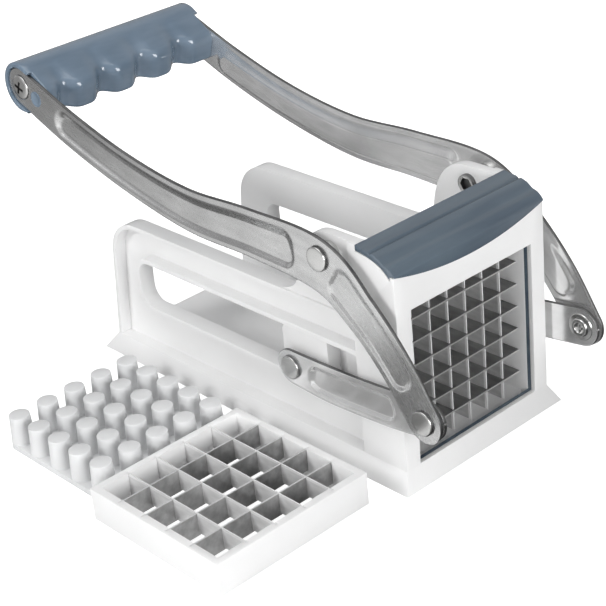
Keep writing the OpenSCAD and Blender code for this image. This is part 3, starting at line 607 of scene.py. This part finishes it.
def cross_recess(screw, side):
    """Cut a cross into the screw's head, with walls of a dark steel, as painted shade."""
    length, width, deep, middle = 5.8 * MM, 2.0 * MM, 1.3 * MM, 47.5 * MM
    bm = bmesh.new()
    for turn in (20, 110):
        place = Matrix.Translation((grip_axis[0], side * middle, grip_axis[1]))
        place = place @ Matrix.Rotation(radians(turn), 4, "Y")
        bmesh.ops.create_cube(bm, size=1, matrix=place @ Matrix.Diagonal((length, width, deep, 1)))
    for face in bm.faces:
        face.material_index = 1
    cutter = made("cross", bm, pin_steel, painted_shade_steel)
    cut = screw.modifiers.new("cross", "BOOLEAN")
    cut.operation = "DIFFERENCE"
    cut.solver = "EXACT"
    cut.use_self = True
    cut.object = cutter
    smoothed(screw, 35)
    bpy.data.objects.remove(cutter)


pin_steel = stainless("pin_steel", (0.78, 0.78, 0.77), (0.66, 0.66, 0.65), 0.24, 0.0, 0.02,
                      along=240, across=240, uv=False)
# Heads lie on the outer face of an arm or a link. The posts and the shaft leave it some play,
# so that it turns. All profiles are in mm
head_r, head_h, play = 4.9, 1.2, 0.1
arm_face, link_face = 46.0, 43.6
post_face, shaft_face = arm_face + play, link_face + play
post = [(3.0, 35.2), (3.0, post_face)] + low_head(head_r, post_face, head_h)
rivet = [(2.4, 44.6), (2.4, arm_face)] + low_head(head_r, arm_face, head_h)
# Swaged end: a raised ring round a hollow
swage = [(2.4, 43.6), (2.4, 42.3), (5.6, 42.3), (5.4, 42.0), (3.9, 41.85), (3.75, 41.4),
         (3.45, 41.05), (2.9, 40.95), (2.3, 41.15), (1.9, 41.7), (1.3, 41.95), (0.7, 41.6),
         (0, 41.55)]
# Socket screw: its head's inner side has a deep hexagonal socket
socket = [(0, 42.4), (2.0, 42.4), (2.0, 35.0), (4.0, 35.0), (4.0, 33.3), (3.9, 33.05),
          (3.65, 32.93), (3.2, 32.92), (3.0, 33.0), (2.85, 33.2, 6), (2.8, 34.75, 6), (0, 34.85)]
# Pan head screw in the grip
pan = [(0, 34.6), (2.0, 34.6), (2.0, 46.0), (5.5, 46.0), (5.5, 46.3), (5.35, 46.58), (5.0, 46.8),
       (4.2, 47.0), (3.0, 47.16), (1.5, 47.24), (0, 47.26)]
for side, name in ((1, "left"), (-1, "right")):
    turned("post_head_" + name, post, pivot, side, pin_steel, "housing",
           ["pivot_post_" + name])
    turned("rivet_head_" + name, rivet, crank_pin, side, pin_steel, "lever",
           ["crank_rivet_" + name])
    turned("swage_" + name, swage, crank_pin, side, pin_steel, "link_" + name,
           ["link_swage_" + name])
    turned("socket_screw_" + name, socket, pivot, side, pin_steel, "housing",
           ["pivot_screw_" + name])
    screw = turned("pan_screw_" + name, pan, grip_axis, side, pin_steel, "lever",
                   ["handle_screw_" + name])
    cross_recess(screw, side)
    for node in ("pivot_spacer_" + name, "shaft_spacer_" + name):
        eased(node, 0.12 * MM, pin_steel)
shaft_head = low_head(head_r, shaft_face, head_h)
shaft = ([(0, -44.9)] + [(r, -y) for r, y in reversed(shaft_head[:-1])]
         + [(3.0, -shaft_face), (3.0, shaft_face)] + shaft_head)
turned("shaft_heads", shaft, pusher_pin, 1, pin_steel, "pusher", ["pusher_shaft"])
# The rod inside the grip keeps its CAD shape
frame["nodes"]["handle_rod"].data.materials[0] = pin_steel

# Grip: a glossy blue-grey moulding round a steel rod, with four finger lobes at its front and
# a thin rim that covers each arm's end.
grip_blue = plastic("grip_blue", (0.185, 0.248, 0.322), (0.122, 0.176, 0.240), 0.17,
                    eggshell=0.006, sheen_coat=0.5, flow=(3, 0.9, 3))
grip_r, lobe_reach, lobe_top, lobe_low = 11 * MM, 19 * MM, 7.42 * MM, -6.58 * MM
top_r, low_r, lean = 5 * MM, 2 * MM, radians(18)
groove_pitch, groove_shift, groove_h = 20.78 * MM, 6.65 * MM, 5 * MM


def groove_at(y):
    """How far the finger grooves cut in, as a share of their depth.

    The left lobe runs full to the arm.
    """
    if y > groove_shift + 1.5 * groove_pitch:
        return 0
    return abs(cos(pi * (y - groove_shift) / groove_pitch)) ** 4


def grip_ring(y, shrink=0):
    """Section of the grip: a round back, and a flat front between a full and a small edge."""
    x = lobe_reach - groove_h * groove_at(y)
    circles = [(0, 0, grip_r - shrink, 44),
               (x - low_r, lobe_low + low_r, low_r - shrink, 10),
               (x - top_r, lobe_top - top_r, top_r - shrink, 16)]

    def leave(p, q):
        """Where the line that touches both circles leaves p."""
        dx, dz = q[0] - p[0], q[1] - p[1]
        return atan2(dz, dx) - acos((p[2] - q[2]) / hypot(dx, dz))

    ring = []
    for i, (cx, cz, r, n) in enumerate(circles):
        a0 = leave(circles[i - 1], circles[i])
        turn = (leave(circles[i], circles[(i + 1) % 3]) - a0) % (2 * pi)
        for k in range(n + 1):
            px, pz = cx + r * cos(a0 + turn * k / n), cz + r * sin(a0 + turn * k / n)
            ring.append((grip_axis[0] + px * cos(lean) + pz * sin(lean), y,
                         grip_axis[1] + pz * cos(lean) - px * sin(lean)))
    return ring


def loft(bm, rings):
    """Smooth faces from each ring of vertices to the next, and a face on both ends."""
    for a, b in zip(rings, rings[1:]):
        for k in range(len(a)):
            m = (k + 1) % len(a)
            bm.faces.new((a[k], a[m], b[m], b[k])).smooth = True
    bm.faces.new(rings[0])
    bm.faces.new(rings[-1])


# Sections along the grip, with a small round edge at both ends
bm = bmesh.new()
end = arm_y
ys = [-end, -end + 0.1 * MM, -end + 0.4 * MM]
ys += [-end + 0.9 * MM + (2 * end - 1.8 * MM) * k / 170 for k in range(171)]
ys += [end - 0.4 * MM, end - 0.1 * MM, end]
shrinks = [0.4 * MM, 0.12 * MM, 0] + [0] * 171 + [0, 0.12 * MM, 0.4 * MM]
loft(bm, [[bm.verts.new(p) for p in grip_ring(y, s)] for y, s in zip(ys, shrinks)])
# Rims round the arms' ends: circular between round_from and round_to, and straight beyond,
# where the arm leaves the grip. Radii and layers are in mm
arm_lean = radians(20.6)
rim_from, rim_to, rim_steps = 44, 287, 72
round_from, round_to = radians(57), radians(267.7)
rim_in, rim_out = 8.8, 11
peg_out = 10.67 * MM
peg_x, peg_z = grip_axis[0] + peg_out * cos(lean), grip_axis[1] - peg_out * sin(lean)
peg_profile = ((3.45, 44.0), (3.45, 46.1), (3.3, 46.25), (2.7, 46.27), (2.5, 46.12), (0.8, 46.12))
for side in (1, -1):
    arcs = []
    for k in range(rim_steps + 1):
        a = radians(rim_from + (rim_to - rim_from) * k / rim_steps)
        inner = rim_in / cos(max(0.5 * pi - arm_lean - a, a - 1.5 * pi + arm_lean, 0))
        outer = rim_out / cos(max(round_from - a, a - round_to, 0))
        section = [(inner, 44.0), (inner, 46.5), (inner + 0.15, 46.75), (inner + 0.4, 46.8),
                   (outer - 0.7, 46.8), (outer - 0.25, 46.6), (outer, 46.2), (outer, 44.0)]
        arcs.append([bm.verts.new((grip_axis[0] + r * MM * cos(a), side * y * MM,
                                   grip_axis[1] + r * MM * sin(a))) for r, y in section])
    loft(bm, arcs)
    # Peg that stands in the arm
    turns = [2 * pi * k / 48 for k in range(48)]
    loft(bm, [[bm.verts.new((peg_x + r * MM * cos(a), side * y * MM, peg_z + r * MM * sin(a)))
               for a in turns] for r, y in peg_profile])
bmesh.ops.recalc_face_normals(bm, faces=bm.faces)
grip = made("grip", bm, grip_blue)
smoothed(grip, 40)
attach(grip, "lever")
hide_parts("handle_grip")

# Blade holder: a frame that slides into the block from above, moulded in one piece with the
# blue-grey cap.
holder_blue = plastic("holder_blue", (0.118, 0.155, 0.190), (0.074, 0.101, 0.134), 0.22,
                      eggshell=0.03, sheen_coat=0.35, flow=(3.4, 0.5, 3.4))


def cap_relief(bm):
    """A crease across the cap's top, with a shallow hollow behind it and one in front of it."""
    rear, fold, dip, nose, cuts = 70.8, 78.0, 84.6, 89.8, 60

    def top_parts():
        """Faces of the cap's top, and their edges and corners."""
        top = [f for f in bm.faces if f.normal.z > 0.3 and f.calc_center_median().z > 87 * MM]
        edges = dict.fromkeys(e for f in top for e in f.edges)
        return top, list(edges), list(dict.fromkeys(v for f in top for v in f.verts))

    for k in range(1, cuts):
        top, edges, corners = top_parts()
        bmesh.ops.bisect_plane(bm, geom=top + edges + corners, dist=1e-7, plane_no=(1, 0, 0),
                               plane_co=((rear + (nose - rear) * k / cuts) * MM, 0, 0))
    bm.normal_update()
    for v in top_parts()[2]:
        x = v.co.x / MM
        crease = 0.70 * exp(-((x - fold) / 0.6) ** 2)
        if x < fold:
            crease += 0.15 * smooth_step((x - fold + 0.8) / 0.8)
        hollow = (0.30 * sin(pi * min(max((x - rear) / (fold - rear), 0), 1))
                  + 0.80 * exp(-((x - dip) / 1.8) ** 2))
        v.co.z -= (crease + hollow) * MM


eased("blade_holder", 0.35 * MM, holder_blue, shape=cap_relief)

# Blades: a white frame holds two crossed sets of thin stainless strips, lapped at half depth.
# The steel is painted darker on the flat strips and lighter on the upright ones, as painted shade
# and painted light, with a painted highlight along their front. The second frame stands open to
# the light, and its strips are painted lighter still.
blade_white = plastic("blade_white", grey(0.90), grey(0.87), 0.4)
for lead, front, flat, upright in (("", "X", (0.36, 0.20), (0.68, 0.42)),
                                   ("spare_", "Z", (0.58, 0.34), (0.94, 0.72))):
    eased(lead + "cassette_frame", 0.3 * MM, blade_white)
    for node, (light, dark), metal, start in (("horizontal_blades", flat, 0.85, 0.96),
                                              ("vertical_blades", upright, 0.35, 0.86)):
        # A painted-shade or painted-light copy of one steel, with a painted highlight at its front
        strip_steel = stainless(lead + node + "_steel", grey(light), grey(dark), 0.32, 0.02,
                                0.04, along=500, across=2100, uv=False, metal=metal,
                                bright=(front, start, 0.92))
        frame["nodes"][lead + node].data.materials[0] = strip_steel

# Pusher: a white carriage with guide shoes in the slots carries the plate with a peg for
# every cell of the blades.
pusher_white = plastic("pusher_white", grey(0.84), grey(0.79), 0.42)
eased("pusher_carriage", 0.3 * MM, pusher_white)
eased("pusher_plate", 0.3 * MM, pusher_white)

# Second pusher plate: a slightly translucent white moulding with fewer and thicker pegs. It
# lies loose beside the cutter and goes with the second blade frame.
plate_white = plastic("plate_white", (0.77, 0.775, 0.78), (0.72, 0.725, 0.73), 0.38, inner=0.25)
eased("spare_pusher_plate", 0.4 * MM, plate_white)
